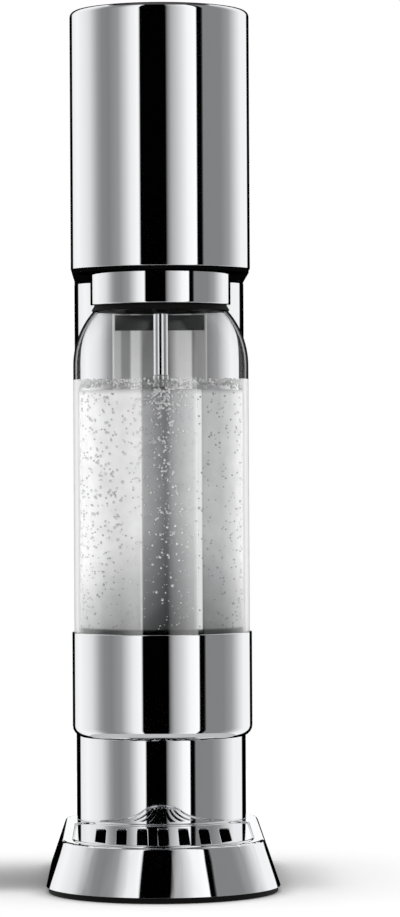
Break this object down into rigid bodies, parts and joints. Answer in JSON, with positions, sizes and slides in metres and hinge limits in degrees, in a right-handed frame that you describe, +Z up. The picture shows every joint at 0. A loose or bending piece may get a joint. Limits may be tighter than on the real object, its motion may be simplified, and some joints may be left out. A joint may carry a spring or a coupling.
{
  "type": "sparkling water maker",
  "caption": "Slim chrome sparkling water maker: a tall head over a hanging clear bottle, a round column that holds a gas cylinder, and a flared base with a slotted drip grille.",
  "frame": {"origin": "on the floor under the middle of the base", "axes": "+Z up, -Y to the front where the bottle hangs, +X to the machine's left as the user faces it from behind"},
  "size_m": [0.1176, 0.2316, 0.4415],
  "materials": {
    "chrome": "mirror polished",
    "dark_plastic": "moulded",
    "gloss_dark": "gloss",
    "rubber": "matte",
    "steel": "plain",
    "zinc": "die cast",
    "brass": "turned",
    "clear_tip": "clear",
    "glass": "clear",
    "handle": "moulded",
    "aluminium": "brushed"
  },
  "bodies": {
    "stand": {"base_cover": "chrome", "base_plate": "dark_plastic", "foot_ring": "rubber", "base_screws": "steel", "cylinder_seat": "rubber", "column_shell": "chrome", "column_frame": "dark_plastic", "frame_screws": "steel", "head_shell": "chrome", "head_underplate": "gloss_dark", "head_chassis": "zinc", "chassis_screws": "steel", "valve_block": "brass", "block_screws": "steel", "inlet_seal": "rubber", "pipe_nut": "brass", "gas_pipe": "steel", "swivel_elbow": "brass", "rod_spring": "steel", "lever_pin": "steel", "lever_spring": "steel", "holder_pin": "steel", "connect_pins": "steel"},
    "press_lever": {"press_plate": "chrome", "lever_arm": "dark_plastic", "lever_screws": "steel"},
    "rod": {"push_rod": "steel"},
    "holder": {"holder_ring": "chrome", "holder_liner": "dark_plastic", "nozzle_body": "dark_plastic", "bottle_seal": "rubber", "nozzle_tube": "chrome", "nozzle_tip": "clear_tip", "relief_valve": "brass"},
    "bottle_set": {"bottle": "glass", "bottle_cup": "chrome"},
    "drip_tray": {"drip_tub": "dark_plastic", "drip_grille": "chrome"},
    "cover": {"rear_cover": "chrome"},
    "connector": {"connect_lever": "handle"},
    "gas_carriage": {"carriage": "steel", "gas_cylinder": "aluminium", "cylinder_valve": "brass"}
  },
  "joints": [
    {"name": "lever_press", "type": "hinge", "parent": "stand", "child": "press_lever", "pos_m": [0, 0.086, 0.432], "axis": [1, 0, 0], "range_deg": [0, 3.2], "stiffness_Nm_per_rad": 4, "springref_deg": -9.17, "deforming": ["lever_spring"]},
    {"name": "rod_push", "type": "slide", "parent": "stand", "child": "rod", "axis": [0, 0, -1], "range_m": [0, 0.0017], "deforming": ["rod_spring"]},
    {"name": "holder_tilt", "type": "hinge", "parent": "stand", "child": "holder", "pos_m": [0, -0.023, 0.328], "axis": [-1, 0, 0], "range_deg": [0, 12]},
    {"name": "bottle_drop", "type": "slide", "parent": "holder", "child": "bottle_set", "axis": [0, 0, -1], "range_m": [0, 0.028]},
    {"name": "tray_lift", "type": "slide", "parent": "stand", "child": "drip_tray", "axis": [0, 0, 1], "range_m": [0, 0.0195]},
    {"name": "cover_pull", "type": "slide", "parent": "stand", "child": "cover", "axis": [0, 1, 0], "range_m": [0, 0.06]},
    {"name": "carriage_drop", "type": "slide", "parent": "stand", "child": "gas_carriage", "axis": [0, 0, -1], "range_m": [0, 0.006]},
    {"name": "connector_lift", "type": "hinge", "parent": "stand", "child": "connector", "pos_m": [0, 0.046, 0.372], "axis": [1, 0, 0], "range_deg": [0, 42.05]}
  ],
  "couplings": [
    {"joint": "rod_push", "follows": "lever_press", "m_per_rad": 0.029},
    {"joint": "connector_lift", "follows": "carriage_drop", "rad_per_m": 122.17}
  ]
}
